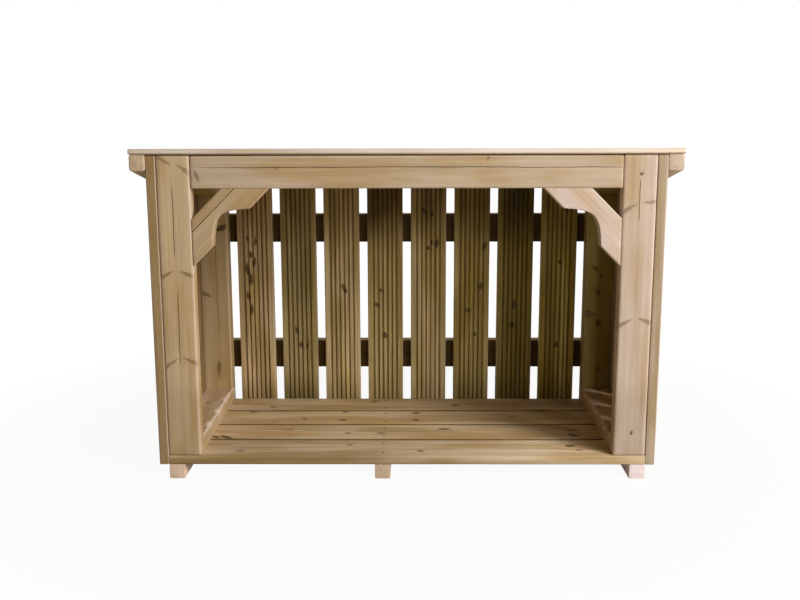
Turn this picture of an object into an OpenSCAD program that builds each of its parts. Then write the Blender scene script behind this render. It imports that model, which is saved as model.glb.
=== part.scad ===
// Log store: an open-fronted slatted timber shelter whose roof falls to the back.
// Millimetres, +Z up. The open front faces -Y, the skids stand on Z = 0, and the
// whole store is centred on X and Y.

/* [Overall] */
// Width over the outer faces of the four posts
frame_width = 1390; // [1100:5:1800]
// Depth from the front faces of the posts to the backs of the rear rails
frame_depth = 660; // [520:5:900]
// Height from the ground to the underside of the roof at the front faces of the posts
front_height = 943; // [760:1:1200]
// Fall of the roof towards the back, in degrees
roof_fall = 12; // [6:0.5:18]

/* [Framing timber] */
// Width of the planed framing timber
timber_width = 95; // [75:1:115]
// Thickness of the planed framing timber
timber_thickness = 47; // [38:1:60]
// Size of the eased edges of the framing timber
eased_edge = 5; // [1:0.5:8]

/* [Slats] */
// Width of the grooved boards that close the back and the sides
slat_width = 120; // [95:1:145]
// Thickness of the grooved boards
slat_thickness = 28; // [20:1:35]
// Smallest gap left between two slats
least_slat_gap = 5; // [3:1:15]
// Distance from one groove to the next
groove_pitch = 15.5; // [10:0.5:18]
// Width of a groove at the face of the board
groove_width = 6.5; // [4:0.5:8]
// Depth of a groove
groove_depth = 3.5; // [2:0.5:6]

/* [Floor] */
// Height of the skids under the floor
skid_height = 43; // [30:1:60]
// Width of the skids under the floor
skid_width = 45; // [35:1:70]
// How far the middle skid sits to the left of the centre
middle_skid_shift = 70; // [0:1:150]
// Thickness of the floor boards
floor_thickness = 28; // [20:1:40]
// Gap between two floor boards
floor_gap = 8; // [3:1:15]

/* [Braces] */
// Distance from the inner corner of the frame to the outer edge of a brace
brace_setback = 84; // [60:1:120]
// Length of the curved cut in the inner edge of a brace
scoop_length = 152; // [100:1:170]
// Depth of the curved cut in the inner edge of a brace
scoop_depth = 45; // [25:1:52]

/* [Rear rails] */
// Height of the lower edge of the lower rear rail above the ground
lower_rail_height = 177; // [120:1:260]
// Height of the lower edge of the upper rear rail above the ground
upper_rail_height = 617; // [480:1:640]

/* [Roof] */
// Thickness of the roof boards
roof_thickness = 15; // [12:1:28]
// How far the roof runs out in front of the posts
roof_nose = 8; // [2:1:80]
// How far the roof runs out behind the rear rails
roof_tail = 20; // [5:1:80]
// Gap between two roof boards
roof_gap = 1; // [0.5:0.5:5]
// Width and height of the square bearers under the sides of the roof
bearer_size = 45; // [35:1:60]

/* [Hidden] */
// Named sub-parts, one solid each

// Heights of the floor and of the frame that stands on it
floor_top = skid_height + floor_thickness;
rail_top = floor_top + timber_thickness;
beam_bottom = front_height - timber_width;

// Widths, measured from the middle of the store
post_out = frame_width / 2;
post_in = post_out - timber_width;
wall_out = post_out + slat_thickness;
roof_half = wall_out + bearer_size;

// Depths, measured from the front faces of the posts
slat_face = frame_depth - timber_thickness - slat_thickness;
slat_back = slat_face + slat_thickness;
rear_post_face = slat_face - timber_thickness;
roof_front = -roof_nose;
roof_back = frame_depth + roof_tail;

// The middle of the whole store, front to back
roof_normal_reach = roof_thickness * sin(roof_fall);
mid_y = (roof_front + roof_back + roof_normal_reach) / 2;

// Floor boards, which fill the depth from the front of the posts to the back slats
floor_boards = 4;
floor_board_pitch = (slat_face + floor_gap) / floor_boards;
floor_board_width = floor_board_pitch - floor_gap;

// Grooved boards across the back and along each side
back_slats = 10;
side_slats = 4;
back_slat_width = min(slat_width, (2 * wall_out - (back_slats - 1) * least_slat_gap) / back_slats);
back_slat_pitch = (2 * wall_out - back_slat_width) / (back_slats - 1);
side_slat_width = min(slat_width, (slat_face - (side_slats - 1) * least_slat_gap) / side_slats);
side_slat_pitch = (slat_face - side_slat_width) / (side_slats - 1);
groove_count = 6;

// Roof boards, measured along the slope
roof_boards = 5;
roof_length = (roof_back - roof_front) / cos(roof_fall);
roof_board_pitch = (roof_length + roof_gap) / roof_boards;
roof_board_width = roof_board_pitch - roof_gap;

// Curved cut of a brace: the circle's radius and how far its centre is off the edge
scoop_radius = (scoop_length * scoop_length / 4 + scoop_depth * scoop_depth) / (2 * scoop_depth);
scoop_centre_off = scoop_radius - scoop_depth;
brace_reach = brace_setback + timber_width * sqrt(2);

// Small chamfers on the edges of the other timber
skid_edge = 2;
bearer_edge = 2;
floor_edge = 3;
slat_edge = 2;
roof_edge = 1.5;

// Cutting shapes and the timber they cut run past each other by this much
overrun = 100;
// Width of the shape that keeps what lies under the roof, and how far it reaches along Y
cut_width = 3000;
cut_reach = 1000;
// Straight pieces in the circle of a brace
circle_pieces = 96;

// Colours of pressure-treated softwood, fresh timber a little warmer than the slats
frame_colour = [0.74, 0.62, 0.45];
floor_colour = [0.66, 0.55, 0.38];
slat_colour = [0.60, 0.50, 0.33];
roof_colour = [0.78, 0.68, 0.53];
skid_colour = [0.82, 0.73, 0.61];

// Everything is drawn with the front faces of the posts at Y = 0, then centred
module centred() {
  translate([0, -mid_y, 0]) children();
}

// Rectangle w by t with its four corners cut off by c, for planed timber
module eased_rect(w, t, c) {
  polygon([
    [c, 0], [w - c, 0], [w, c], [w, t - c],
    [w - c, t], [c, t], [0, t - c], [0, c]
  ]);
}

// Points of one groove cut into the face at y = 0, centred on x
function groove(x) = [
  [x - groove_width / 2, 0], [x - groove_width / 4, groove_depth],
  [x + groove_width / 4, groove_depth], [x + groove_width / 2, 0]
];

// Section of a grooved board, w wide, with the grooves in the face at y = 0
module grooved_rect(w) {
  first = w / 2 - (groove_count - 1) / 2 * groove_pitch;
  grooves = [for (i = [0 : groove_count - 1]) each groove(first + i * groove_pitch)];
  t = slat_thickness;
  e = slat_edge;
  polygon(concat(
    [[0, e], [e, 0]], grooves,
    [[w - e, 0], [w, e], [w, t - e], [w - e, t], [e, t], [0, t - e]]
  ));
}

// Keeps what lies under the slope of the roof, lowered by drop
module under_roof(drop = 0) {
  z0 = front_height - drop;
  intersection() {
    children();
    rotate([90, 0, 90])
      translate([0, 0, -cut_width / 2])
      linear_extrude(cut_width)
      polygon([
        [-cut_reach, -overrun], [cut_reach, -overrun],
        [cut_reach, z0 - cut_reach * tan(roof_fall)],
        [-cut_reach, z0 + cut_reach * tan(roof_fall)]
      ]);
  }
}

// Upright timber with its wide face to the front, from z0 up past the roof
module upright(x, y, z0) {
  translate([x, y, z0])
    linear_extrude(front_height - z0 + overrun)
    eased_rect(timber_width, timber_thickness, eased_edge);
}

// Level timber along X, from x0 to x1, with its wide face to the front
module crosswise(x0, x1, y, z0) {
  translate([x0, y, z0])
    rotate([90, 0, 90])
    linear_extrude(x1 - x0)
    eased_rect(timber_thickness, timber_width, eased_edge);
}

// Timber of section w by t that lies along Y, from y0 to y1, wide face up
module lengthwise(x0, y0, y1, z0, w, t, c) {
  translate([x0, y1, z0])
    rotate([90, 0, 0])
    linear_extrude(y1 - y0)
    eased_rect(w, t, c);
}

// The same, laid just under the slope of the roof, with upright end cuts
module sloping(x0, y0, y1, w, t, c) {
  intersection() {
    translate([0, 0, front_height])
      rotate([-roof_fall, 0, 0])
      lengthwise(x0, y0 - overrun, y1 + overrun, -t, w, t, c);
    translate([x0 - overrun, y0, 0])
      cube([w + 2 * overrun, y1 - y0, front_height + overrun]);
  }
}

module skid(x) {
  color(skid_colour) centred()
    lengthwise(x - skid_width / 2, 0, frame_depth, 0, skid_width, skid_height,
      skid_edge);
}

// Floor boards lie along X and are counted from the front
module floor_board(i) {
  color(floor_colour) centred()
    translate([-post_out, (i - 1) * floor_board_pitch, skid_height])
    rotate([90, 0, 90])
    linear_extrude(2 * post_out)
    eased_rect(floor_board_width, floor_thickness, floor_edge);
}

module front_post(x) {
  color(frame_colour) centred() under_roof() upright(x, 0, floor_top);
}

// Rear posts stand on the bottom rails and carry the top rails
module rear_post(x) {
  color(frame_colour) centred()
    under_roof(timber_thickness / cos(roof_fall)) upright(x, rear_post_face, rail_top);
}

module front_beam() {
  color(frame_colour) centred()
    under_roof() crosswise(-post_in, post_in, 0, beam_bottom);
}

// Brace in the upper left corner of the front, with a curved cut in its inner edge
module brace() {
  translate([-post_in, timber_thickness, beam_bottom])
    rotate([90, 0, 0])
    linear_extrude(timber_thickness)
    difference() {
      polygon([
        [brace_setback, 0], [brace_reach, 0], [0, -brace_reach], [0, -brace_setback]
      ]);
      translate([
        brace_reach / 2 + scoop_centre_off / sqrt(2),
        -brace_reach / 2 - scoop_centre_off / sqrt(2)
      ])
        circle(r = scoop_radius, $fn = circle_pieces);
    }
}

module brace_left() {
  color(frame_colour) centred() brace();
}

module brace_right() {
  color(frame_colour) centred() mirror([1, 0, 0]) brace();
}

module bottom_rail(x) {
  color(frame_colour) centred()
    lengthwise(x, timber_thickness, slat_face, floor_top, timber_width, timber_thickness,
      eased_edge);
}

module top_rail(x) {
  color(frame_colour) centred()
    sloping(x, timber_thickness, slat_face, timber_width, timber_thickness, eased_edge);
}

module rear_rail(z) {
  color(frame_colour) centred()
    crosswise(-wall_out, wall_out, slat_back, z);
}

// Back slats are counted from the left
module back_slat(i) {
  color(slat_colour) centred() under_roof()
    translate([-wall_out + (i - 1) * back_slat_pitch, slat_face, skid_height])
    linear_extrude(front_height)
    grooved_rect(back_slat_width);
}

// Left side slats are counted from the front and have their grooves inside
module side_slat(i) {
  under_roof()
    translate([-post_out, (i - 1) * side_slat_pitch, skid_height])
    rotate([0, 0, 90])
    linear_extrude(front_height)
    grooved_rect(side_slat_width);
}

module side_slat_left(i) {
  color(slat_colour) centred() side_slat(i);
}

module side_slat_right(i) {
  color(slat_colour) centred() mirror([1, 0, 0]) side_slat(i);
}

module roof_bearer(x) {
  color(roof_colour) centred()
    sloping(x, 0, frame_depth, bearer_size, bearer_size, bearer_edge);
}

// Roof boards lie along X and are counted from the front
module roof_board(i) {
  y0 = roof_front / cos(roof_fall) + (i - 1) * roof_board_pitch;
  color(roof_colour) centred()
    translate([0, 0, front_height])
    rotate([-roof_fall, 0, 0])
    translate([-roof_half, y0, 0])
    rotate([90, 0, 90])
    linear_extrude(2 * roof_half)
    eased_rect(roof_board_width, roof_thickness, roof_edge);
}

skid(-post_out + skid_width / 2);  // skid_left
skid(-middle_skid_shift);  // skid_centre
skid(post_out - skid_width / 2);  // skid_right
floor_board(1);  // floor_board_1
floor_board(2);  // floor_board_2
floor_board(3);  // floor_board_3
floor_board(4);  // floor_board_4
front_post(-post_out);  // front_post_left
front_post(post_in);  // front_post_right
rear_post(-post_out);  // rear_post_left
rear_post(post_in);  // rear_post_right
front_beam();
brace_left();
brace_right();
bottom_rail(-post_out);  // bottom_rail_left
bottom_rail(post_in);  // bottom_rail_right
top_rail(-post_out);  // top_rail_left
top_rail(post_in);  // top_rail_right
rear_rail(upper_rail_height);  // rear_rail_upper
rear_rail(lower_rail_height);  // rear_rail_lower
back_slat(1);  // back_slat_1
back_slat(2);  // back_slat_2
back_slat(3);  // back_slat_3
back_slat(4);  // back_slat_4
back_slat(5);  // back_slat_5
back_slat(6);  // back_slat_6
back_slat(7);  // back_slat_7
back_slat(8);  // back_slat_8
back_slat(9);  // back_slat_9
back_slat(10);  // back_slat_10
side_slat_left(1);  // side_slat_left_1
side_slat_left(2);  // side_slat_left_2
side_slat_left(3);  // side_slat_left_3
side_slat_left(4);  // side_slat_left_4
side_slat_right(1);  // side_slat_right_1
side_slat_right(2);  // side_slat_right_2
side_slat_right(3);  // side_slat_right_3
side_slat_right(4);  // side_slat_right_4
roof_bearer(-roof_half);  // roof_bearer_left
roof_bearer(wall_out);  // roof_bearer_right
roof_board(1);  // roof_board_1
roof_board(2);  // roof_board_2
roof_board(3);  // roof_board_3
roof_board(4);  // roof_board_4
roof_board(5);  // roof_board_5
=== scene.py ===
"""Looks of the log store: each timber is lofted round its own solid, procedural softwood."""

import math

import bpy
import numpy as np
from mathutils import Matrix, Vector


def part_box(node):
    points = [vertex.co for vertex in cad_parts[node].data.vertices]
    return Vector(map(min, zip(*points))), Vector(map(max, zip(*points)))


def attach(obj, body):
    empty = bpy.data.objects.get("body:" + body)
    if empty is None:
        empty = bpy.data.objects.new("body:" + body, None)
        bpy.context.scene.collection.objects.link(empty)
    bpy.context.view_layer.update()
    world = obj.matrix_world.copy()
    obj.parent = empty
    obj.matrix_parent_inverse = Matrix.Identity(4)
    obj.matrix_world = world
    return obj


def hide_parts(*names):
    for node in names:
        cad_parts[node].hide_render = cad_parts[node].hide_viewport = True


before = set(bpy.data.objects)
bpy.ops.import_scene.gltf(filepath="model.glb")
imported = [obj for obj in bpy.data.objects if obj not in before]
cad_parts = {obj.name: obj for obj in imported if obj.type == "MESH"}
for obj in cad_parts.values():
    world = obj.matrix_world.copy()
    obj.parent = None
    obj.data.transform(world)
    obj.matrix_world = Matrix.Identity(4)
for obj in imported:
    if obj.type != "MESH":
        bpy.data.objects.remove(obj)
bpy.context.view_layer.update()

MM = 0.001
SLOPE = math.radians(12)  # fall of the roof towards the back
SIDES = ("left", "right")
X, Y, Z = np.eye(3)


def box(name):
    """Lowest and highest corner of a CAD node, as arrays."""
    low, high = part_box(name)
    return np.array(low), np.array(high)


FRONT_Y = box("front_post_left")[0][1]  # the front faces of the posts
ROOF_Z = box("front_post_left")[1][2]  # the underside of the roof over those faces


def under_roof(y):
    """Height of the roof's underside at depth y."""
    return ROOF_Z - (y - FRONT_Y) * math.tan(SLOPE)


# ---------------------------------------------------------------- drift


def seeded(name):
    """A random generator of its own for each piece, the same on every run."""
    return np.random.default_rng(sum((i + 1) * ord(c) for i, c in enumerate(name)))


def wander(rng, reach, waves=(1.3, 2.9, 5.7, 11.0)):
    """A smooth function of the distance along a timber that stays within reach.

    waves are how many swings each of its parts makes in a metre."""
    phases = rng.uniform(0, 2 * math.pi, len(waves))
    shares = 1 / np.arange(1, len(waves) + 1)
    shares = reach * shares / shares.sum()
    return lambda s: float((shares * np.sin(2 * math.pi * np.array(waves) * s + phases)).sum())


# ---------------------------------------------------------------- timber


SIDE_STEPS = 3  # points on a side face, between its arrises
BACK_STEPS = 6
ARC_STEPS = 5  # steps round an arris


def section(width, thick, radii, columns, relief):
    """Outline of a timber, as (across, depth) points, outward normals, edge and groove marks.

    It starts at the left of the front face, where depth is 0. radii are those of the arrises at
    the front left, front right, back right and back left. columns are places across the front
    face, and relief how far each of them lies below it."""
    front_left, front_right, back_right, back_left = radii
    points = [np.stack([columns, relief], 1)]
    normals = [np.tile([0.0, -1.0], (len(columns), 1))]
    edges = [np.zeros(len(columns))]
    hollows = [relief]

    def face(a, b, steps, normal):
        share = np.linspace(0, 1, steps + 2)[1:-1, None]
        points.append(np.array(a) * (1 - share) + np.array(b) * share)
        normals.append(np.tile(normal, (steps, 1)).astype(float))
        edges.append(np.zeros(steps))
        hollows.append(np.zeros(steps))

    def corner(centre, radius, start):
        turn = np.linspace(0, 1, ARC_STEPS + 1)
        angles = math.radians(start) + turn * math.pi / 2
        outward = np.stack([np.cos(angles), np.sin(angles)], 1)
        points.append(np.array(centre) + radius * outward)
        normals.append(outward)
        edges.append(np.sin(turn * math.pi))
        hollows.append(np.zeros(ARC_STEPS + 1))

    corner((width - front_right, front_right), front_right, -90)
    face((width, front_right), (width, thick - back_right), SIDE_STEPS, (1, 0))
    corner((width - back_right, thick - back_right), back_right, 0)
    face((width - back_right, thick), (back_left, thick), BACK_STEPS, (0, 1))
    corner((back_left, thick - back_left), back_left, 90)
    face((0, thick - back_left), (0, front_left), SIDE_STEPS, (-1, 0))
    corner((front_left, front_left), front_left, 180)
    return [np.concatenate(part) for part in (points, normals, edges, hollows)]


END_RINGS = 4  # rings of points round the rounded edge of an end


def stations(length, end_radius, step):
    """Places along a timber: the share of the way, the offset from the ends and the inset."""
    angles = np.linspace(0, math.pi / 2, END_RINGS + 1)[:-1]
    offsets = end_radius * (1 - np.cos(angles))
    insets = end_radius * (1 - np.sin(angles))
    inner = max(2, round(length / step)) + 1
    share = np.concatenate([0 * angles, np.linspace(0, 1, inner), 0 * angles + 1])
    offset = np.concatenate([offsets, np.full(inner, end_radius), offsets[::-1]])
    inset = np.concatenate([insets, np.zeros(inner), insets[::-1]])
    return zip(share, offset, inset)


def placed(name, data):
    """A new object in the scene, at the origin."""
    made = bpy.data.objects.new(name, data)
    bpy.context.scene.collection.objects.link(made)
    return made


def ring_quads(index):
    """The faces between rings of points. index holds the numbers of the points, ring by ring."""
    near = index[:-1]
    far = index[1:]
    around = [near, np.roll(near, -1, 1), np.roll(far, -1, 1), far]
    return np.stack(around, -1).reshape(-1, 4).tolist()


SHARPEST_BEND = math.radians(38)  # between faces that are shaded as one


def loft(name, rings, marks, flipped):
    """A closed mesh object through rings of points, with its marks as mesh attributes."""
    count, size = rings.shape[:2]
    index = np.arange(count * size).reshape(count, size)
    quads = ring_quads(index)
    faces = quads + [index[0][::-1].tolist(), index[-1].tolist()]
    if flipped:
        faces = [face[::-1] for face in faces]
    mesh = bpy.data.meshes.new(name)
    mesh.from_pydata(rings.reshape(-1, 3).tolist(), [], faces)
    mesh.polygons.foreach_set("use_smooth", np.ones(len(faces), bool))
    for label, values in marks.items():
        kind, key = ("FLOAT_VECTOR", "vector") if values.ndim == 3 else ("FLOAT", "value")
        layer = mesh.attributes.new(label, kind, "POINT")
        layer.data.foreach_set(key, values.astype(np.float32).ravel())
    end = mesh.attributes.new("end", "FLOAT", "FACE")
    end.data.foreach_set("value", np.r_[np.zeros(len(quads)), 1, 1].astype(np.float32))
    mesh.set_sharp_from_angle(angle=SHARPEST_BEND)
    return placed(name, mesh)


class Timber:
    """One timber, in metres. Its own axes run along the grain, across the front face and in."""

    def __init__(self, origin, axes, length, width, thick, **rest):
        self.origin = np.array(origin, float)
        self.axes = np.array(axes, float)
        self.length = length
        self.width = width
        self.thick = thick
        self.start = lambda across, depth: 0 * across  # where the timber begins
        self.stop = lambda across, depth: 0 * across + length  # and where it ends
        self.radius = 4 * MM  # of its arrises
        self.end_radius = 1.2 * MM
        self.step = 14 * MM  # from one ring of points to the next
        self.grooved = False
        self.cracks = ()
        self.drift = 1.5 * MM  # of the cracks to either side
        self.wane = {}  # extra radius of an arris, by its number, as a function of the distance
        self.narrowing = lambda share: 0.0  # what is cut off the far edge
        self.taper = 0.0  # how fast the far edge falls towards the back
        vars(self).update(rest)


GROOVES = 6
GROOVE_PITCH = 15.5 * MM
GROOVE_WIDTH = 7.2 * MM
GROOVE_DEPTH = 3.9 * MM
GROOVE_SQUARENESS = 2.6  # 2 would be half an ellipse
GROOVE_POINTS = 9


def groove_columns(width):
    """Places across a grooved face, and the depth of the round-bottomed grooves there."""
    first = width / 2 - (GROOVES - 1) / 2 * GROOVE_PITCH
    middles = first + np.arange(GROOVES) * GROOVE_PITCH
    turn = np.linspace(-1, 1, GROOVE_POINTS)
    columns = (middles[:, None] + turn * GROOVE_WIDTH / 2).ravel()
    depth = np.tile(np.sqrt(1 - np.abs(turn) ** GROOVE_SQUARENESS), GROOVES) * GROOVE_DEPTH
    margin = np.linspace(0, middles[0] - GROOVE_WIDTH / 2, 4)[1:-1]
    columns = np.concatenate([margin, columns, width - margin[::-1]])
    return columns, np.concatenate([0 * margin, depth, 0 * margin])


def crack(across, start, stop, width=1.0, depth=7.0):
    """A drying crack along the front face, in millimetres. width is half of its mouth."""
    return {
        "across": across * MM, "from": start * MM, "to": stop * MM,
        "width": width * MM, "depth": depth * MM,
    }


# Places across a crack, as shares of half its width, and how much of its depth it has there
CRACK_PLACES = np.array([-1, -0.3, 0.3, 1])
CRACK_SHAPE = np.array([0, 1, 1, 0])


def front_face(cut, s, left, right, drift, mouths):
    """Places across the front face at distance s, and how far they lie below it in the cracks.

    drift is how far the cracks stray sideways there."""
    columns = []
    relief = []
    for split, mouth in zip(cut.cracks, mouths):
        half = (split["to"] - split["from"]) / 2
        inside = 1 - ((s - split["from"] - half) / half) ** 2
        # It closes over its last stretch at either end.
        opening = min(1.0, max(0.0, 2.5 * inside)) * (1 + mouth(s))
        lips = split["across"] + drift + split["width"] * CRACK_PLACES
        plain = np.linspace(left, lips[0], 6)[1:-1]
        columns += [plain, lips]
        relief += [0 * plain, split["depth"] * opening * CRACK_SHAPE]
        left = lips[-1]
    plain = np.linspace(left, right, 8)[1:-1]
    return np.concatenate([*columns, plain]), np.concatenate([*relief, 0 * plain])


WANE_ARRIS_MARK = 1.6  # how much stronger the arris colour is on a timber with bark on it: rubbed wood with a painted highlight
RIPPLE_TURN = (170, 90)  # how fast the ripple changes across and in, in radians a metre


def build(name, cut, rng):
    """Lofts a timber along its grain, with its own slight unevenness."""
    swells = [wander(rng, 0.15) for _ in range(4)]
    ripple = wander(rng, 0.12 * MM, (2.3, 5.9, 13.0, 31.0))
    drift = wander(rng, cut.drift, (1.1, 3.7, 9.0, 23.0))
    mouths = [wander(rng, 0.5, (4.0, 9.0, 21.0)) for _ in cut.cracks]
    rings = []
    grain = []
    arris_mark = []
    hollow = []  # 1 at the bottom of a groove, and more in a crack
    for share, offset, inset in stations(cut.length, cut.end_radius, cut.step):
        s = share * cut.length
        radii = [cut.radius * (1 + swell(s)) for swell in swells]
        for i, extra in cut.wane.items():
            radii[i] += max(0.0, extra(s))
        width = cut.width - cut.narrowing(share)
        if cut.grooved:
            columns, relief = groove_columns(cut.width)
        else:
            columns, relief = front_face(cut, s, radii[0], width - radii[1], drift(s), mouths)
        points, normals, edge, deep = section(width, cut.thick, radii, columns, relief)
        if cut.wane:
            edge = edge * WANE_ARRIS_MARK
        uneven = np.abs(ripple(s) * np.sin(points @ RIPPLE_TURN))
        across, depth = (points - normals * (inset + uneven)[:, None]).T
        across = across * (1 - cut.taper * depth / cut.width)
        near = cut.start(across, depth) + offset
        far = cut.stop(across, depth) - offset
        along = (1 - share) * near + share * far
        local = np.stack([along, across, depth], 1)
        rings.append(cut.origin + local @ cut.axes)
        grain.append(local)
        arris_mark.append(edge)
        hollow.append(deep / GROOVE_DEPTH)
    marks = {"grain": np.array(grain), "arris_mark": np.array(arris_mark), "hollow": np.array(hollow)}
    return loft(name, np.array(rings), marks, np.linalg.det(cut.axes) < 0)


# ---------------------------------------------------------------- shader nodes


def fill(tree, made, inputs):
    """Sets a node's sockets, each to a value or to another node's output."""
    for key, value in inputs.items():
        if isinstance(value, bpy.types.NodeSocket):
            tree.links.new(value, made.inputs[key])
        else:
            made.inputs[key].default_value = value
    return made


def node(tree, kind, inputs=None, **settings):
    """A new node, with its sockets and its settings."""
    made = tree.nodes.new(kind)
    for key, value in settings.items():
        setattr(made, key, value)
    return fill(tree, made, inputs or {})


def sums(tree, operation, *values, clamp=False):
    """A number worked out from numbers."""
    inputs = dict(enumerate(values))
    return node(tree, "ShaderNodeMath", inputs, operation=operation, use_clamp=clamp).outputs[0]


def vectors(tree, operation, *values, out="Vector"):
    """A vector, or its length or product, worked out from vectors."""
    inputs = dict(enumerate(values))
    return node(tree, "ShaderNodeVectorMath", inputs, operation=operation).outputs[out]


def smooth(tree, value, low, high):
    """0 below low, 1 above high and a smooth step between them."""
    inputs = {"Value": value, "From Min": low, "From Max": high}
    return node(tree, "ShaderNodeMapRange", inputs, interpolation_type="SMOOTHSTEP").outputs[0]


def mixed(tree, mode, share, first, second):
    """Two colours mixed or multiplied. The colour sockets of this node are 6 and 7."""
    inputs = {0: share, 6: first, 7: second}
    return node(tree, "ShaderNodeMix", inputs, data_type="RGBA", blend_type=mode).outputs[2]


def noise(tree, place, waves, detail=2.0, out="Fac"):
    """Noise with so many waves a metre along, across and in."""
    inputs = {"Vector": vectors(tree, "MULTIPLY", place, waves), "Scale": 1.0, "Detail": detail}
    return node(tree, "ShaderNodeTexNoise", inputs).outputs[out]


def centred_noise(tree, place, waves, detail=2.0):
    """Noise as a vector that swings about 0."""
    return vectors(tree, "SUBTRACT", noise(tree, place, waves, detail, "Color"), (0.5, 0.5, 0.5))


def group(name, inputs, outputs):
    """A node group with typed sockets. Returns its tree, its given values and its results."""
    tree = bpy.data.node_groups.new(name, "ShaderNodeTree")
    for in_out, sockets in (("INPUT", inputs), ("OUTPUT", outputs)):
        for label, kind in sockets.items():
            tree.interface.new_socket(label, in_out=in_out, socket_type="NodeSocket" + kind)
    given = tree.nodes.new("NodeGroupInput")
    made = tree.nodes.new("NodeGroupOutput")
    return tree, given.outputs, made


def use(tree, grouped, inputs):
    """The results of a node group for the given inputs."""
    made = tree.nodes.new("ShaderNodeGroup")
    made.node_tree = grouped
    return fill(tree, made, inputs).outputs


def emptied(owner):
    """The node tree of a new material or world, with nothing in it."""
    owner.use_nodes = True
    owner.node_tree.nodes.clear()
    return owner.node_tree


def srgb(red, green, blue):
    """A colour written in steps of 0 to 255, as the linear colour a shader takes."""
    steps = [c / 255 for c in (red, green, blue)]
    return [c / 12.92 if c <= 0.04045 else ((c + 0.055) / 1.055) ** 2.4 for c in steps] + [1.0]


# ---------------------------------------------------------------- wood


NEAR_PITH = 0.5 * MM  # a knot starts this far from the pith
BEND_REACH = 7 * MM  # the rings bend round a knot over about this distance
KNOT_LIMIT = 1.3  # no knot grows thicker than this many times its radius at the surface


def knot_group():
    """A knot: a cone that grows from the pith to the bark and bends the rings round it."""
    sockets = dict.fromkeys(("Grain", "Root", "Direction"), "Vector")
    numbers = ("Taper", "Radius", "Dark", "Body", "Rim", "Bulge")
    sockets.update(dict.fromkeys(numbers, "Float"))
    results = dict.fromkeys(("Body", "Rim", "Bulge"), "Float")
    tree, given, made = group("knot", sockets, results)
    reach = vectors(tree, "SUBTRACT", given["Grain"], given["Root"])
    along = vectors(tree, "DOT_PRODUCT", reach, given["Direction"], out="Value")
    size = vectors(tree, "DOT_PRODUCT", reach, reach, out="Value")
    square = sums(tree, "SUBTRACT", size, sums(tree, "MULTIPLY", along, along))
    off = sums(tree, "SQRT", sums(tree, "MAXIMUM", square, 0.0))
    radius = sums(tree, "MULTIPLY", sums(tree, "MAXIMUM", along, NEAR_PITH), given["Taper"])
    radius = sums(tree, "MINIMUM", radius, given["Radius"])
    ratio = sums(tree, "DIVIDE", off, radius)
    gap = sums(tree, "MAXIMUM", sums(tree, "SUBTRACT", off, radius), 0.0)
    fade = sums(tree, "EXPONENT", sums(tree, "DIVIDE", gap, -BEND_REACH))
    swell = sums(tree, "MULTIPLY", fade, radius)
    # The brown of the knot fades into the wood round it, unevenly.
    halo = sums(tree, "MULTIPLY", sums(tree, "MULTIPLY", fade, fade), 0.5)
    halo = sums(tree, "MULTIPLY", halo, sums(tree, "DIVIDE", radius, given["Radius"]))
    inner = sums(tree, "SUBTRACT", 1.0, smooth(tree, ratio, 0.7, 1.15))
    body = sums(tree, "MAXIMUM", inner, halo)
    outside = sums(tree, "SUBTRACT", 1.0, smooth(tree, ratio, 1.0, 1.5))
    rim = sums(tree, "MULTIPLY", smooth(tree, ratio, 0.3, 1.0), outside)
    dead = sums(tree, "MULTIPLY", inner, given["Dark"])
    rim = sums(tree, "MULTIPLY", sums(tree, "MAXIMUM", rim, dead), given["Dark"])
    fill(tree, made, {
        "Body": sums(tree, "MAXIMUM", given["Body"], body),
        "Rim": sums(tree, "MAXIMUM", given["Rim"], rim),
        "Bulge": sums(tree, "ADD", given["Bulge"], swell),
    })
    return tree


def ring_pattern(tree, given, place):
    """How dark a place is with latewood: growth rings round a pith that wanders."""
    slow = centred_noise(tree, place, (1.1, 6, 6), 1.0)
    quick = centred_noise(tree, place, (8, 50, 50), 1.0)
    bent = vectors(tree, "MULTIPLY_ADD", slow, (0, 0.024, 0.024), given["Grain"])
    bent = vectors(tree, "MULTIPLY_ADD", quick, (0, 0.0032, 0.0032), bent)
    off = vectors(tree, "MULTIPLY", vectors(tree, "SUBTRACT", bent, given["Pith"]), (0, 1, 1))
    radius = sums(tree, "SUBTRACT", vectors(tree, "LENGTH", off, out="Value"), given["Bulge"])
    years = sums(tree, "DIVIDE", radius, given["Ring"])
    years = sums(tree, "MULTIPLY_ADD", noise(tree, off, (0, 34, 34), 0.0), 2.2, years)
    part = sums(tree, "FRACT", years)
    drop = sums(tree, "SUBTRACT", 1.0, smooth(tree, part, 0.86, 1.0))
    late = sums(tree, "MULTIPLY", sums(tree, "POWER", part, 2.2), drop)
    # Each year's ring has a strength of its own.
    year = {"W": sums(tree, "FLOOR", years)}
    year = node(tree, "ShaderNodeTexWhiteNoise", year, noise_dimensions="1D").outputs["Value"]
    return sums(tree, "MULTIPLY", late, sums(tree, "MULTIPLY_ADD", year, 0.9, 0.35))


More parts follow.
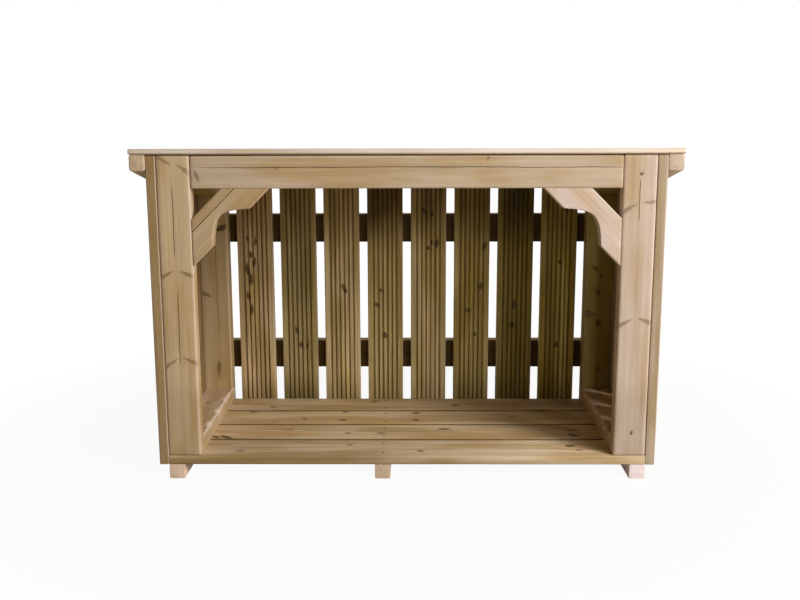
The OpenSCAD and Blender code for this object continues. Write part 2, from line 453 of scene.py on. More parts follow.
def wood_group():
    """Solid softwood: growth rings, fibres, streaks, stain, knots and end grain, with painted shade
    in the cracks, the grooves and given bands, and pale arrises that are rubbed and carry a painted
    highlight.
    """
    sockets = dict.fromkeys(("Grain", "Shift", "Pith"), "Vector")
    sockets.update(dict.fromkeys(("Early", "Late", "Stain", "Arris"), "Color"))
    numbers = ("Ring", "Contrast", "Figure", "Sawn")
    numbers += ("Body", "Rim", "Bulge", "Arris Mark", "Hollow", "End", "Painted Shade")
    sockets.update(dict.fromkeys(numbers, "Float"))
    results = {"Colour": "Color", "Roughness": "Float", "Height": "Float"}
    tree, given, made = group("softwood", sockets, results)
    place = vectors(tree, "ADD", given["Grain"], given["Shift"])
    late = ring_pattern(tree, given, place)
    fibre = noise(tree, place, (14, 900, 900), 1.0)
    streak = noise(tree, place, (2.2, 90, 90), 2.0)
    cloud = noise(tree, place, (3.2, 14, 14), 2.0)
    fine = noise(tree, place, (260, 700, 700), 0.0)

    # Earlywood and latewood, then the stain that the treatment leaves in patches
    share = sums(tree, "MULTIPLY", late, given["Contrast"], clamp=True)
    colour = mixed(tree, "MIX", share, given["Early"], given["Late"])
    patch = sums(tree, "MULTIPLY", smooth(tree, cloud, 0.38, 0.66), 0.9)
    colour = mixed(tree, "MULTIPLY", patch, colour, given["Stain"])
    shade = 1.0
    for pattern, depth in ((streak, given["Figure"]), (fibre, 0.22), (fine, 0.14)):
        shade = sums(tree, "MULTIPLY_ADD", sums(tree, "SUBTRACT", pattern, 0.5), depth, shade)
    scaled = {0: colour, "Scale": shade}
    colour = node(tree, "ShaderNodeVectorMath", scaled, operation="SCALE").outputs["Vector"]

    # Knots: a brown body and a dark, ragged rim of bark
    body = sums(tree, "MULTIPLY", given["Body"], sums(tree, "MULTIPLY_ADD", streak, 0.9, 0.1))
    colour = mixed(tree, "MULTIPLY", body, colour, srgb(176, 150, 108))
    ragged = sums(tree, "MULTIPLY_ADD", fine, 1.5, 0.05)
    bark = sums(tree, "MULTIPLY", given["Rim"], ragged, clamp=True)
    colour = mixed(tree, "MIX", bark, colour, srgb(58, 42, 20))

    # Arrises: pale for rubbed wood with a painted highlight, and dark as painted shade at the floor
    # joints and on the rails
    arris_wear_and_light = sums(tree, "MULTIPLY", given["Arris Mark"], sums(tree, "MULTIPLY_ADD", streak, 0.8, 0.06))
    colour = mixed(tree, "MIX", arris_wear_and_light, colour, given["Arris"])
    # Dirt and painted shade in the grooves
    dirt_and_shade = sums(tree, "MULTIPLY", smooth(tree, given["Hollow"], 0.2, 1.0), 0.8)
    colour = mixed(tree, "MULTIPLY", dirt_and_shade, colour, srgb(142, 116, 62))
    # Painted shade, near black, in the cracks
    split = sums(tree, "MULTIPLY", smooth(tree, given["Hollow"], 1.0, 1.4), 0.95)
    colour = mixed(tree, "MIX", split, colour, srgb(46, 32, 16))

    # End grain drinks more of the treatment. Painted shade darkens the bands that a material is
    # given, such as the tops under the roof
    ends = sums(tree, "MULTIPLY", given["End"], given["Sawn"])
    colour = mixed(tree, "MULTIPLY", ends, colour, srgb(206, 184, 150))
    painted_shade = sums(tree, "MULTIPLY_ADD", cloud, 0.7, 0.5)
    painted_shade = sums(tree, "MULTIPLY", painted_shade, given["Painted Shade"], clamp=True)
    colour = mixed(tree, "MULTIPLY", painted_shade, colour, srgb(128, 114, 66))

    rough = sums(tree, "MULTIPLY_ADD", late, -0.10, 0.66)
    rough = sums(tree, "MULTIPLY_ADD", fibre, 0.16, rough)
    rough = sums(tree, "MULTIPLY_ADD", given["Body"], -0.14, rough)
    rough = sums(tree, "MULTIPLY_ADD", given["End"], 0.14, rough, clamp=True)
    height = sums(tree, "MULTIPLY_ADD", streak, 1.2, fibre)
    sawn = sums(tree, "MULTIPLY_ADD", given["End"], 1.2, 0.25)
    height = sums(tree, "MULTIPLY_ADD", fine, sawn, height)
    fill(tree, made, {"Colour": colour, "Roughness": rough, "Height": height})
    return tree


KNOT = knot_group()
WOOD = wood_group()


def knot(along, across, radius, lean, dark=0.6):
    """A knot, in millimetres: where it meets the front face, its radius there, and how far up
    the grain it runs on its way out from the pith. dark is the strength of its rim of bark."""
    at = np.array([along, across, 0.0]) * MM
    return {"at": at, "radius": radius * MM, "lean": lean * MM, "dark": dark}


def scatter(rng, length, width, count, radius=(2.5, 6.0)):
    """Knots where nothing says where they lie. length and width are in metres."""
    return [
        knot(
            rng.uniform(0.06, 0.94) * length / MM, rng.uniform(0.1, 0.9) * width / MM,
            rng.uniform(*radius), rng.uniform(4, 22), rng.uniform(0.2, 0.9),
        )
        for _ in range(count)
    ]


def wood(name, kind, pith, knots, tone, shade_bands, rng):
    """The material of one timber. pith is where its pith runs, as (across, depth). Each band of
    painted shade says how much it darkens the timber, along which axis, from where and to where."""
    material = bpy.data.materials.new(name)
    tree = emptied(material)

    def mark(label, socket="Fac"):
        return node(tree, "ShaderNodeAttribute", attribute_name=label).outputs[socket]

    grain = mark("grain", "Vector")
    # Shaken a little, so that the outline of a knot isn't a clean ellipse
    wobble = centred_noise(tree, grain, (60, 150, 150), 1.0)
    shaken = vectors(tree, "MULTIPLY_ADD", wobble, (0.008, 0.006, 0.006), grain)
    found = {"Body": 0.0, "Rim": 0.0, "Bulge": 0.0}
    for one in knots:
        root = np.array([one["at"][0] - one["lean"], *pith])
        reach = one["at"] - root
        far = np.linalg.norm(reach)
        outputs = use(tree, KNOT, {
            "Grain": shaken, "Root": root.tolist(), "Direction": (reach / far).tolist(),
            "Taper": one["radius"] / far, "Radius": one["radius"] * KNOT_LIMIT,
            "Dark": one["dark"], **found,
        })
        found = {key: outputs[key] for key in found}
    # Bands of painted shade
    painted_shading = 0.0
    for share, axis, low, high in shade_bands:
        reached = node(tree, "ShaderNodeSeparateXYZ", {0: grain}).outputs[axis]
        painted_shading = sums(tree, "MULTIPLY_ADD", smooth(tree, reached, low, high), share, painted_shading)
    toned = {
        key: [c * t for c, t in zip(kind[key], (*tone, 1.0))] for key in ("Early", "Late")
    }
    solid = use(tree, WOOD, {
        **kind, **toned, **found, "Grain": grain, "Shift": rng.uniform(-50, 50, 3).tolist(),
        "Pith": (0.0, *pith), "Arris Mark": mark("arris_mark"), "Hollow": mark("hollow"),
        "End": mark("end"), "Painted Shade": painted_shading,
    })
    bump = {"Height": solid["Height"], "Strength": 0.6, "Distance": 0.5 * MM}
    shader = node(tree, "ShaderNodeBsdfPrincipled", {
        "Base Color": solid["Colour"], "Roughness": solid["Roughness"],
        "Normal": node(tree, "ShaderNodeBump", bump).outputs[0], "Specular IOR Level": 0.3,
    })
    node(tree, "ShaderNodeOutputMaterial", {"Surface": shader.outputs[0]})
    return material


def look(early, late, stain, arris, ring, contrast, figure, sawn=0.3):
    """A kind of wood: its colours, the width of a year's ring in millimetres, the strength of
    its rings and streaks, and how much darker its end grain is."""
    return {
        "Early": srgb(*early), "Late": srgb(*late), "Stain": srgb(*stain),
        "Arris": srgb(*arris), "Ring": ring * MM, "Contrast": contrast, "Figure": figure,
        "Sawn": sawn,
    }


# Colours of the arrises: pale where they are rubbed and carry a painted highlight, and dark as
# painted shade
PALE_RUBBED_AND_HIGHLIT = (236, 214, 194)
ARRIS_PAINTED_SHADE = (140, 114, 74)
FRAME_WOOD = look((210, 184, 150), (172, 143, 104), (234, 222, 190), PALE_RUBBED_AND_HIGHLIT, 4.2, 0.32, 0.42)
# Back slats: olive, partly painted shade, as they look in the shade
SLAT_WOOD = look((192, 172, 124), (147, 124, 77), (220, 216, 176), PALE_RUBBED_AND_HIGHLIT, 3.4, 0.8, 1.2)
SIDE_WOOD = look((190, 163, 124), (148, 119, 82), (228, 216, 186), PALE_RUBBED_AND_HIGHLIT, 3.6, 0.5, 0.6)
FLOOR_WOOD = look((214, 187, 147), (160, 131, 89), (226, 214, 184), ARRIS_PAINTED_SHADE, 3.2, 0.7, 0.9)
ROOF_WOOD = look((248, 228, 214), (204, 176, 148), (244, 236, 222), PALE_RUBBED_AND_HIGHLIT, 3.8, 0.5, 0.5)
# Skids: pale partly as a painted highlight on their lit ends
SKID_WOOD = look((252, 244, 234), (206, 176, 148), (246, 238, 226), PALE_RUBBED_AND_HIGHLIT, 3.4, 0.8, 0.6, 0.0)
# Rails: darker wood, partly painted shade of their place behind the slats
RAIL_WOOD = look((172, 147, 94), (130, 104, 62), (220, 210, 176), ARRIS_PAINTED_SHADE, 3.8, 0.6, 0.8)


# ---------------------------------------------------------------- pieces

ALONG_SLOPE = np.array([0, math.cos(SLOPE), -math.sin(SLOPE)])
OFF_SLOPE = np.array([0, math.sin(SLOPE), math.cos(SLOPE)])


def make(name, cut, kind, pith, knots=(), tone=(1, 1, 1), shade_bands=()):
    """Builds one timber over its CAD node and gives it its wood. pith is in millimetres."""
    rng = seeded(name)
    made = build(name + "_timber", cut, rng)
    pith = (pith[0] * MM, pith[1] * MM)
    solid = wood(name + "_wood", kind, pith, knots, tone, shade_bands, rng)
    made.data.materials.append(solid)
    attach(made, "root")
    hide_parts(name)


def upright_cut(name, side, sunk=0.0, **rest):
    """A vertical timber. side is the way its front face looks: front, right or left. Its top
    stays sunk below the roof."""
    low, high = box(name)
    size = high - low
    origin, axes, width, thick = {
        "front": (low, (Z, X, Y), size[0], size[1]),
        "right": ((high[0], low[1], low[2]), (Z, Y, -X), size[1], size[0]),
        "left": ((low[0], high[1], low[2]), (Z, -Y, X), size[1], size[0]),
    }[side]
    drop = under_roof(low[1]) - high[2]
    cut = Timber(origin, axes, size[2], width, thick, **rest)

    def stop(across, depth):
        y = cut.origin[1] + across * cut.axes[1][1] + depth * cut.axes[2][1]
        return under_roof(y) - drop - sunk - cut.origin[2]

    cut.stop = stop
    return cut


def level_cut(name, side, **rest):
    """A level timber. Its front face looks to the front, to the back or up. It runs along X,
    or along Y if side is deep, and then its front face looks up."""
    low, high = box(name)
    size = high - low
    origin, axes, length, width, thick = {
        "front": (low, (X, Z, Y), size[0], size[2], size[1]),
        "back": ((high[0], high[1], low[2]), (-X, Z, -Y), size[0], size[2], size[1]),
        "up": ((low[0], low[1], high[2]), (X, Y, -Z), size[0], size[1], size[2]),
        "deep": ((high[0], low[1], high[2]), (Y, -X, -Z), size[1], size[0], size[2]),
    }[side]
    return Timber(origin, axes, length, width, thick, **rest)


def sloping_cut(name, **rest):
    """A timber laid under the slope of the roof, with upright end cuts."""
    low, high = box(name)
    size = high - low
    thick = (size[2] - size[1] * math.tan(SLOPE)) * math.cos(SLOPE)
    length = size[1] / math.cos(SLOPE)
    lean = math.tan(SLOPE)
    return Timber(
        (high[0], low[1], high[2]), (ALONG_SLOPE, -X, -OFF_SLOPE), length, size[0], thick,
        start=lambda across, depth: depth * lean,
        stop=lambda across, depth: length + depth * lean, **rest,
    )


def roof_board_cut(name, **rest):
    """A board of the roof. Its box is w cos + t sin deep and w sin + t cos high."""
    low, high = box(name)
    length, depth, height = high - low
    c = math.cos(SLOPE)
    s = math.sin(SLOPE)
    width = (depth * c - height * s) / (c * c - s * s)
    thick = (height * c - depth * s) / (c * c - s * s)
    origin = np.array([low[0], low[1], high[2] - thick * c]) + OFF_SLOPE * thick
    return Timber(origin, (X, ALONG_SLOPE, -OFF_SLOPE), length, width, thick, **rest)


# The curved cut in a brace
SCOOP_LENGTH = 152 * MM
SCOOP_DEPTH = 45 * MM
POST_WIDTH = box("front_post_left")[1][0] - box("front_post_left")[0][0]


def brace_cut(name, **rest):
    """A diagonal brace between beam and post, with a curved cut in its inner edge."""
    low, high = box(name)
    way = 1 if low[0] < 0 else -1
    corner = np.array([low[0] if way > 0 else high[0], low[1], high[2]])
    root = math.sqrt(0.5)
    # Its outer edge is 2 half long, and its inner edge longer by its width at either end.
    half = (high[0] - low[0] - POST_WIDTH / root) * root
    along = np.array([-way * root, 0, -root])
    inward = np.array([way * root, 0, -root])
    radius = (SCOOP_LENGTH**2 / 4 + SCOOP_DEPTH**2) / (2 * SCOOP_DEPTH)

    def scoop(share):
        s = (2 * share - 1) * (half + POST_WIDTH)
        if abs(s) >= SCOOP_LENGTH / 2:
            return 0.0
        return math.sqrt(radius**2 - s**2) - (radius - SCOOP_DEPTH)

    return Timber(
        corner + inward * half, (along, inward, Y), 2 * half, POST_WIDTH, high[1] - low[1],
        start=lambda across, depth: -(half + across),
        stop=lambda across, depth: half + across,
        narrowing=scoop, step=3 * MM, **rest,
    )


# ---------------------------------------------------------------- skids and floor


def skids():
    """Three skids that run from front to back under the floor."""
    # The skids' pale ends, the right one palest and bluest, are partly a painted highlight of the
    # light from the right
    tones_and_painted_light = {"left": (1.18, 1.0, 0.9), "centre": (0.82, 0.68, 0.52), "right": (1.25, 1.22, 1.45)}
    piths = {"left": (22, 62), "centre": (70, -20), "right": (-12, 30)}
    for label, tone in tones_and_painted_light.items():
        name = f"skid_{label}"
        knots = scatter(seeded(name + "_knots"), length=0.6, width=0.045, count=2)
        cut = level_cut(name, "deep", radius=2.5 * MM)
        make(name, cut, SKID_WOOD, piths[label], knots, tone)


def floor_boards():
    """Four boards along the floor, from front to back."""
    knots = (
        [
            knot(202, 41, 8, 48, dark=0.3), knot(736, 40, 5, 78, dark=0.8),
            knot(523, 94, 8, 36, dark=0.2), knot(1184, 86, 8, 72, dark=0.9),
            knot(1205, 48, 5, 102, dark=0.6),
        ],
        [
            knot(104, 21, 7, 60, dark=0.9), knot(134, 21, 8, 78, dark=1.0),
            knot(613, 58, 8, 42, dark=0.3), knot(811, 97, 6, 120, dark=0.9),
            knot(1214, 87, 8, 48), knot(1209, 38, 8, 54, dark=1.0),
            knot(511, 58, 7, 30, dark=0.4), knot(326, 88, 7, 30, dark=0.3),
        ],
        [
            knot(184, 128, 7, 54), knot(362, 52, 5, 36, dark=1.0), knot(491, 128, 7, 42),
            knot(486, 41, 8, 42, dark=0.8), knot(724, 116, 8, 48, dark=0.8),
            knot(723, 42, 8, 42, dark=0.9), knot(1042, 73, 7, 36, dark=0.3),
        ],
        [knot(858, 59, 6, 90, dark=0.9), knot(583, 106, 7, 42), knot(240, 40, 7, 48)],
    )
    piths = ((62, 66), (84, 48), (50, 74), (74, 56))
    # The boards are paler towards the front: painted light, with the back boards in the shade of the
    # roof
    tones_and_painted_light = ((1.5, 1.56, 1.74), (1.17, 1.17, 1.17), (1.1, 1.1, 1.08), (1.0, 1.0, 0.98))
    for i, (pith, own, tone) in enumerate(zip(piths, knots, tones_and_painted_light), start=1):
        name = f"floor_board_{i}"
        cut = level_cut(name, "up", radius=4 * MM)
        # Painted shade darkens the sides of the boards in the gaps between them. The front board is
        # paler to the right, a painted highlight of the light from that side, and a little painted
        # shade darkens its sides.
        shade_bands = [(2.0, 2, 0.2 * MM, 2.5 * MM)]
        if i == 1:
            shade_bands = [(0.46, 0, 1.15, 0.55), (0.26, 2, 3 * MM, 8 * MM)]
        make(name, cut, FLOOR_WOOD, pith, own, tone, shade_bands)


# ---------------------------------------------------------------- frame


# Posts, beam and side slats stop this far below the roof boards.
SHADOW_GAP = 2.5 * MM


def front_posts():
    """The two front posts. Their pith lies just under the front face, and has cracked."""
    left = [
        knot(826, 86, 5, -26, dark=0.45), knot(850, 31, 3, 10, dark=0.4),
        knot(530, 8, 5, -20, dark=0.5), knot(541, 66, 3, -8, dark=0.5),
        knot(270, 8, 5, -26, dark=0.45), knot(281, 84, 5, -16, dark=0.45),
    ]
    right = [
        knot(813, 48, 3, 2, dark=0.9), knot(714, 8, 5, -24, dark=0.45),
        knot(739, 86, 4, 4, dark=0.4), knot(391, 10, 5, -18, dark=0.5),
        knot(398, 86, 5, -14, dark=0.45), knot(67, 49, 3, 2, dark=1.0),
    ]
    splits = {
        "left": [crack(43, 585, 800, 1.3, 8), crack(47, 267, 485, 1.1)],
        "right": [crack(47, 690, 809, 0.9, 6)],
    }
    # The right post is bluer: painted light from the lamp on the right
    tones_and_painted_light = {"left": (1.1, 1.08, 1.0), "right": (1.1, 1.15, 1.42)}
    for side, knots in (("left", left), ("right", right)):
        cut = upright_cut(
            f"front_post_{side}", "front", SHADOW_GAP, radius=8 * MM, end_radius=5 * MM,
            step=8 * MM, cracks=splits[side],
        )
        # The feet are darker than the rest.
        shade_bands = [(0.2, 0, 0.24, 0.16)]
        make(f"front_post_{side}", cut, FRAME_WOOD, (47, 1.5), knots, tones_and_painted_light[side], shade_bands)


def rear_posts():
    """The two rear posts, seen past the front ones."""
    left = [knot(553, 69, 6, 8, dark=1.0), knot(85, 51, 5, -26), knot(330, 20, 4, 12)]
    right = [
        knot(414, 39, 5, 8), knot(389, 52, 5, 8), knot(333, 46, 5, 8), knot(264, 23, 5, 8),
        knot(256, 2, 4, 10), knot(225, 50, 6, 8, dark=0.9), knot(67, 53, 5, 8),
    ]
    splits = {"left": [crack(53, 190, 553, 0.8)], "right": []}
    # Painted shade: the rear posts are darker and yellower, the right one most, as they stand in the
    # shade of the sides
    tones_and_painted_light = {"left": (0.84, 0.82, 0.66), "right": (0.56, 0.58, 0.24)}
    for side, knots in (("left", left), ("right", right)):
        cut = upright_cut(f"rear_post_{side}", "front", radius=5 * MM, cracks=splits[side])
        make(f"rear_post_{side}", cut, FRAME_WOOD, (52, 6), knots, tones_and_painted_light[side])


def beam_and_braces():
    """The beam under the front of the roof and the two braces below it."""
    # The crack runs the whole length, and its ends lie beyond those of the beam.
    split = crack(59, -20, 1230, 0.9, 6.5)
    knots = [
        knot(16, 41, 3, 8), knot(241, 56, 1.6, 2, dark=0.9), knot(826, 86, 2, 4),
    ]
    cut = level_cut(
        "front_beam", "front", radius=6 * MM, end_radius=6 * MM, step=9 * MM, cracks=[split],
        taper=math.tan(SLOPE),
    )
    cut.width -= SHADOW_GAP
    make("front_beam", cut, FRAME_WOOD, (58, 5), knots, (1.03, 1.05, 1.14))
    splits = {"left": [crack(26, -60, 180, 1.2, 8)], "right": []}
    piths = {"left": (26, 6), "right": (120, 60)}
    # The right brace is paler and bluer: a painted highlight of the light from the right
    tones_and_painted_light = {"left": (1.02, 1.0, 0.96), "right": (1.33, 1.44, 2.05)}
    for side in SIDES:
        cut = brace_cut(f"brace_{side}", end_radius=2.5 * MM, cracks=splits[side])
        make(f"brace_{side}", cut, FRAME_WOOD, piths[side], (), tones_and_painted_light[side])


def rails():
    """The side rails on the floor and under the roof, and the rear rails behind the slats."""
    # Painted shade: the top rails are olive and the right one dark, in the shade under the roof
    top_tones_and_painted_shade = {"left": (0.88, 1.05, 0.72), "right": (0.42, 0.44, 0.15)}
    for side, arris in (("left", 0), ("right", 1)):
        # The bark side of each bottom rail is turned inwards, and leaves its arris rough.
        bark = wander(seeded(f"bark_{side}"), 12 * MM, (7.0, 15.0, 31.0, 53.0))
        cut = level_cut(
            f"bottom_rail_{side}", "deep", step=4 * MM,
            wane={arris: lambda s, bark=bark: 6 * MM + bark(s)},
        )
        knots = scatter(seeded(f"bottom_rail_{side}_knots"), length=0.5, width=0.09, count=3)
        make(f"bottom_rail_{side}", cut, FRAME_WOOD, (47, 60), knots)
        knots = scatter(seeded(f"top_rail_{side}_knots"), length=0.6, width=0.09, count=3)
        cut = sloping_cut(f"top_rail_{side}", radius=5 * MM)
        make(f"top_rail_{side}", cut, FRAME_WOOD, (40, 70), knots, top_tones_and_painted_shade[side])
    for label in ("upper", "lower"):
        name = f"rear_rail_{label}"
        knots = scatter(seeded(name + "_knots"), length=1.3, width=0.09, count=6)
        cut = level_cut(name, "back", radius=5 * MM)
        # Painted shade darkens the face against the slats.
        shade_bands = [(1.4, 2, cut.thick - 9 * MM, cut.thick - 1 * MM)]
        make(name, cut, RAIL_WOOD, (50, 80), knots, shade_bands=shade_bands)


# ---------------------------------------------------------------- slats

# Where the knots of some back slats are: height above the foot and place across, in mm
BACK_KNOTS = {
    2: ((590, 36), (580, 63), (533, 45), (509, 56), (481, 33), (447, 42), (391, 34), (342, 43)),
    3: ((272, 48), (219, 64), (219, 84)),
    4: ((422, 65), (409, 70)),
    5: ((412, 44), (360, 33), (254, 57)),
    6: ((578, 70), (557, 60), (571, 87), (683, 43), (673, 70)),
    7: ((423, 91), (258, 72), (342, 47), (564, 104)),
    8: ((360, 58), (290, 52)),
    9: ((509, 64), (219, 59)),
}
# How pale each back slat is, in red, green and blue. The olive, low-blue tones of some are painted
# shade.
BACK_TONES_AND_SHADE = (
    (1.1, 1.05, 1.2), (1.28, 1.23, 1.38), (0.84, 0.84, 0.76), (1.36, 1.37, 1.5), (1.14, 1.15, 1.02),
    (1.52, 1.57, 1.74), (1.2, 1.23, 1.0), (0.76, 0.8, 0.46), (1.28, 1.38, 0.95), (1.0, 1.08, 0.75),
)
# How much painted shade each of them has at the top, under the roof, and at the foot
BACK_PAINTED_SHADE = (
    (0.4, 0.6), (0.2, 0.75), (0.15, 0.75), (0.4, 0.5), (1.3, 0.4),
    (0.85, 0.35), (0.75, 0.6), (0.95, 0.4), (0.6, 0.4), (0.5, 0.4),
)


def back_slats():
    """Ten grooved boards that close the back, with gaps between them."""
    for i, (tone, (top, foot)) in enumerate(zip(BACK_TONES_AND_SHADE, BACK_PAINTED_SHADE), start=1):
        name = f"back_slat_{i}"
        rng = seeded(name + "_knots")
        cut = upright_cut(name, "front", radius=3.5 * MM, grooved=True, step=24 * MM)
        knots = [
            knot(along, across, rng.uniform(3.5, 6), rng.uniform(30, 110), rng.uniform(0.9, 1))
            for along, across in BACK_KNOTS.get(i, ())
        ]
        knots = knots or scatter(rng, length=0.7, width=0.12, count=4, radius=(3, 5.5))
        pith = (rng.uniform(30, 90), rng.uniform(40, 75))
        # Painted shade at the top, under the roof, and at the foot
        shade_bands = [(top, 0, cut.length - 0.26, cut.length - 0.06), (foot, 0, 0.14, 0.02)]
        make(name, cut, SLAT_WOOD, pith, knots, tone, shade_bands)


def side_slats():
    """Four grooved boards on each side, with their grooves turned inwards."""
    # Painted light: the right slats are paler and bluer, lit from the right, and the left ones
    # darker
    tones_and_painted_light = {"left": np.array((0.86, 0.8, 0.69)), "right": np.array((1.12, 1.2, 1.52))}
    for side, turned in (("left", "right"), ("right", "left")):
        for i in range(1, 5):
            name = f"side_slat_{side}_{i}"
            rng = seeded(name + "_knots")
            cut = upright_cut(
                name, turned, SHADOW_GAP, radius=3.5 * MM, end_radius=3 * MM, grooved=True,
                step=24 * MM,
            )
            knots = scatter(rng, length=0.7, width=0.12, count=4, radius=(2.5, 5.0))
            pith = (rng.uniform(30, 90), rng.uniform(40, 75))
            tone = tones_and_painted_light[side] * (1 if i == 1 else rng.uniform(0.78, 0.96))
            make(name, cut, SIDE_WOOD, pith, knots, tone)


# ---------------------------------------------------------------- roof


def roof():
    """Five boards across two bearers."""
    # The left bearer is darker and yellower: painted shade, farther from the light on the right
    tones_and_painted_light = {"left": (0.89, 0.84, 0.66), "right": (0.91, 0.9, 0.9)}
    for side, tone in tones_and_painted_light.items():
        name = f"roof_bearer_{side}"
        knots = scatter(seeded(name + "_knots"), length=0.6, width=0.045, count=2)
        cut = sloping_cut(name, radius=7 * MM, end_radius=4 * MM)
        make(name, cut, ROOF_WOOD, (24, 52), knots, tone)
    for i in range(1, 6):
        name = f"roof_board_{i}"
        rng = seeded(name + "_knots")
        cut = roof_board_cut(name, radius=3.5 * MM)
        pith = (rng.uniform(40, 100), rng.uniform(50, 100))
        tone = np.ones(3) * rng.uniform(0.94, 1.06)
        shade_bands = ()
        knots = scatter(rng, length=1.5, width=cut.width, count=8, radius=(4, 9))
        if i == 1:
            # The front board is paler to the right: a painted highlight of the light from that side.
            tone = (1.08, 1.12, 1.1)
            shade_bands = [(0.24, 0, 1.2, 0.3)]
        make(name, cut, ROOF_WOOD, pith, knots, tone, shade_bands)


# ---------------------------------------------------------------- screws

HEAD_RADIUS = 3.8 * MM


def screw_head(origin, face):
    """Rings of points of a countersunk head with a cross in it, outward along the vector face."""
    outward = np.array(face, float)
    side = np.cross(outward, X if abs(outward[0]) < 0.5 else Y)
    side /= np.linalg.norm(side)
    other = np.cross(outward, side)
    angles = np.linspace(0, 2 * math.pi, 32, endpoint=False)
    c = np.cos(angles)
    s = np.sin(angles)
    arm = 0.62 * HEAD_RADIUS
    half_arm = 0.17 * HEAD_RADIUS
    longer = np.maximum(np.abs(c), np.abs(s))
    shorter = np.minimum(np.abs(c), np.abs(s))
    cross = np.minimum(arm / longer, half_arm / np.maximum(shorter, 1e-6))
    # The radius of each ring in metres, and its height above the timber in millimetres
    rings = (
        (0.7 * HEAD_RADIUS, -1.6), (HEAD_RADIUS, -0.3), (0.97 * HEAD_RADIUS, 0.1),
        (0.86 * HEAD_RADIUS, 0.3), (cross, 0.3), (0.85 * cross, -1.2),
    )
    points = [
        origin + outward * height * MM + (radius * c)[:, None] * side + (radius * s)[:, None] * other
        for radius, height in rings
    ]
    return np.array(points)


def screw_faces(first, rings, size):
    """Faces of one head, whose points start at number first."""
    index = first + np.arange(rings * size).reshape(rings, size)
    return ring_quads(index) + [index[-1].tolist()]


def zinc():
    """Weathered dark brown zinc, partly painted shade of the holes, with dirt and painted shade in
    the cross and round the rim.
    """
    material = bpy.data.materials.new("zinc")
    tree = emptied(material)
    place = node(tree, "ShaderNodeTexCoord").outputs["Object"]
    cloud = noise(tree, place, (420, 420, 420), 3.0)
    scratch = noise(tree, place, (3000, 700, 3000), 2.0)
    dirt_and_shade = node(tree, "ShaderNodeAttribute", attribute_name="hollow").outputs["Fac"]
    colour = mixed(tree, "MIX", cloud, srgb(52, 42, 26), srgb(76, 64, 42))
    colour = mixed(tree, "MIX", dirt_and_shade, colour, srgb(20, 15, 9))
    rough = sums(tree, "MULTIPLY_ADD", scratch, 0.3, 0.25)
    shader = node(tree, "ShaderNodeBsdfPrincipled", {
        "Base Color": colour, "Roughness": rough, "Metallic": 0.6,
        "Normal": node(tree, "ShaderNodeBump", {"Height": cloud, "Distance": 0.2 * MM}).outputs[0],
    })
    node(tree, "ShaderNodeOutputMaterial", {"Surface": shader.outputs[0]})
    return material


ZINC = zinc()
SCREW_DIRT_AND_SHADE = (0, 0.7, 0, 0, 0.5, 1.0)  # dirt and painted shade on each ring of a head: at its rim and deep in the cross


def screws(name, places, face):
    """One piece with a screw head at each of the places, all looking along face."""
    points = []
    faces = []
    dirt_and_shade = []
    for place in places:
        rings = screw_head(np.array(place), face)
        faces += screw_faces(len(points), *rings.shape[:2])
        points += rings.reshape(-1, 3).tolist()
        dirt_and_shade += np.repeat(SCREW_DIRT_AND_SHADE, rings.shape[1]).tolist()
    mesh = bpy.data.meshes.new(name)
    mesh.from_pydata(points, [], faces)
    mesh.attributes.new("hollow", "FLOAT", "POINT").data.foreach_set("value", dirt_and_shade)
    mesh.materials.append(ZINC)
    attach(placed(name, mesh), "root")


def middle(name):
    """The middle of a CAD node."""
    low, high = box(name)
    return (low + high) / 2


def all_screws():
    """Two screws wherever a board crosses a timber."""
    inset = 21 * MM  # from the edge of a board, in its first groove
    sunk = GROOVE_DEPTH * 0.9  # almost to the bottom of that groove
    lowered = 8 * MM  # below the middle of a rear rail
    heights = [middle(f"rear_rail_{label}")[2] - lowered for label in ("upper", "lower")]
    places = []
    for i in range(1, 11):
        low, high = box(f"back_slat_{i}")
        for x in (low[0] + inset, high[0] - inset):
            places += [(x, low[1] + sunk, z) for z in heights]
    screws("screws_back", places, -Y)

    for side, way in (("left", -1), ("right", 1)):
        places = []
        for i in range(1, 5):
            low, high = box(f"side_slat_{side}_{i}")
            x = low[0] if way < 0 else high[0]
            for y in (low[1] + inset, high[1] - inset):
                top = box(f"top_rail_{side}")
                upper = top[1][2] - (y - top[0][1]) * math.tan(SLOPE) - POST_WIDTH / 4
                places += [(x, y, middle(f"bottom_rail_{side}")[2]), (x, y, upper)]
        screws(f"screws_{side}", places, way * X)

    places = []
    bearers = ("roof_bearer_left", "top_rail_left", "top_rail_right", "roof_bearer_right")
    for i in range(1, 6):
        cut = roof_board_cut(f"roof_board_{i}")
        for across in (0.2, 0.8):
            for bearer in bearers:
                at = cut.origin + ALONG_SLOPE * across * cut.width
                places.append((middle(bearer)[0], at[1], at[2]))
    screws("screws_roof", places, OFF_SLOPE)

    places = []
    for i in range(1, 5):
        low, high = box(f"floor_board_{i}")
        for label in ("left", "centre", "right"):
            for y in (low[1] + 1.3 * inset, high[1] - 1.3 * inset):
                places.append((middle(f"skid_{label}")[0], y, high[2]))
    screws("screws_floor", places, Z)


skids()
floor_boards()
front_posts()
rear_posts()
beam_and_braces()
rails()
back_slats()
side_slats()
roof()
all_screws()


# ---------------------------------------------------------------- floor, lights, camera


def shown_white(tree):
    """1 for the rays that show the background: straight, in gloss and through glass."""
    path = node(tree, "ShaderNodeLightPath").outputs
    first = sums(tree, "MAXIMUM", path["Is Camera Ray"], path["Is Glossy Ray"])
    return sums(tree, "MAXIMUM", first, path["Is Transmission Ray"])


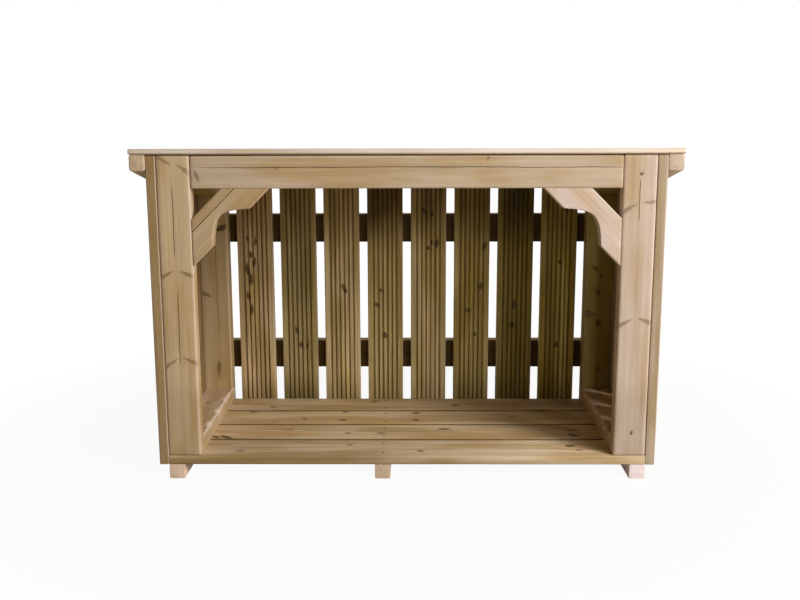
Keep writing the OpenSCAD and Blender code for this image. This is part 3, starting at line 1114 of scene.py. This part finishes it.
def lay_floor():
    """A wide pale floor. Seen directly it is white, and keeps a light shadow."""
    half = 60.0
    corners = [(-half, -half, 0), (half, -half, 0), (half, half, 0), (-half, half, 0)]
    mesh = bpy.data.meshes.new("studio_floor")
    mesh.from_pydata(corners, [], [(0, 1, 2, 3)])
    material = bpy.data.materials.new("studio_floor")
    tree = emptied(material)
    # Near the store a tenth of what shows is the lit floor, with the shadow on it.
    place = node(tree, "ShaderNodeTexCoord").outputs["Object"]
    away = smooth(tree, vectors(tree, "LENGTH", place, out="Value"), 1.0, 2.4)
    plain = node(tree, "ShaderNodeBsdfDiffuse", {"Color": (0.5, 0.44, 0.3, 1)})
    glow = node(tree, "ShaderNodeEmission", {"Color": (1, 1, 1, 1), "Strength": 1.05})
    share = sums(tree, "MULTIPLY_ADD", away, 0.1, 0.9)
    share = sums(tree, "MULTIPLY", shown_white(tree), share)
    both = node(tree, "ShaderNodeMixShader", {0: share, 1: plain.outputs[0], 2: glow.outputs[0]})
    node(tree, "ShaderNodeOutputMaterial", {"Surface": both.outputs[0]})
    mesh.materials.append(material)
    placed("studio_floor", mesh)


def light_world(strength, colour):
    """An even fill from all round, in front of which the background shows white."""
    world = bpy.data.worlds.new("studio")
    bpy.context.scene.world = world
    tree = emptied(world)
    soft = node(tree, "ShaderNodeBackground", {"Color": colour, "Strength": strength}).outputs[0]
    white = node(tree, "ShaderNodeBackground", {"Color": (1, 1, 1, 1), "Strength": 1.0}).outputs[0]
    both = node(tree, "ShaderNodeMixShader", {0: shown_white(tree), 1: soft, 2: white})
    node(tree, "ShaderNodeOutputWorld", {"Surface": both.outputs[0]})


LAMP_TARGET = Vector((0, 0, 0.5))  # the middle of the store


def area_lamp(name, turn, height, distance, size, power, colour):
    """A lamp, of size wide and high, that looks at the middle of the store. turn is how far to
    the right of the front it stands and height how far above the level, both in degrees."""
    data = bpy.data.lights.new(name, "AREA")
    data.shape = "RECTANGLE"
    data.size, data.size_y = size
    data.energy = power
    data.color = colour
    turn = math.radians(turn)
    height = math.radians(height)
    level = distance * math.cos(height)
    way = Vector((level * math.sin(turn), -level * math.cos(turn), distance * math.sin(height)))
    aim = (-way).to_track_quat("-Z", "Y").to_matrix().to_4x4()
    placed(name, data).matrix_world = Matrix.Translation(way + LAMP_TARGET) @ aim


CAMERA_PLACE = (0.0076, -3.1208, 1.0709)
CAMERA_YAW = math.radians(-0.527)
CAMERA_PITCH = math.radians(-10.93)
CAMERA_ROLL = math.radians(-0.14)


def add_camera():
    """The photo's viewpoint: a little above the roof's front edge, 2.8 m away."""
    data = bpy.data.cameras.new("camera")
    data.sensor_width = 36
    data.lens = 45.06
    data.clip_end = 200
    turn = Matrix.Rotation(-CAMERA_YAW, 4, "Z")
    turn = turn @ Matrix.Rotation(math.pi / 2 + CAMERA_PITCH, 4, "X")
    turn = turn @ Matrix.Rotation(CAMERA_ROLL, 4, "Z")
    camera = placed("camera", data)
    camera.matrix_world = Matrix.Translation(CAMERA_PLACE) @ turn
    bpy.context.scene.camera = camera


bpy.context.scene.view_settings.view_transform = "Standard"
lay_floor()
light_world(strength=0.03, colour=(1.0, 0.8, 0.2, 1))
COOL = (0.95, 0.96, 1.0)
WARM = (1.0, 0.88, 0.6)
area_lamp("key", turn=50, height=29, distance=6.0, size=(1.8, 3.3), power=298, colour=COOL)
area_lamp("low", turn=30, height=14, distance=6.0, size=(1.2, 1.8), power=62, colour=COOL)
area_lamp("back", turn=215, height=35, distance=4.0, size=(2.0, 2.0), power=36, colour=WARM)
add_camera()
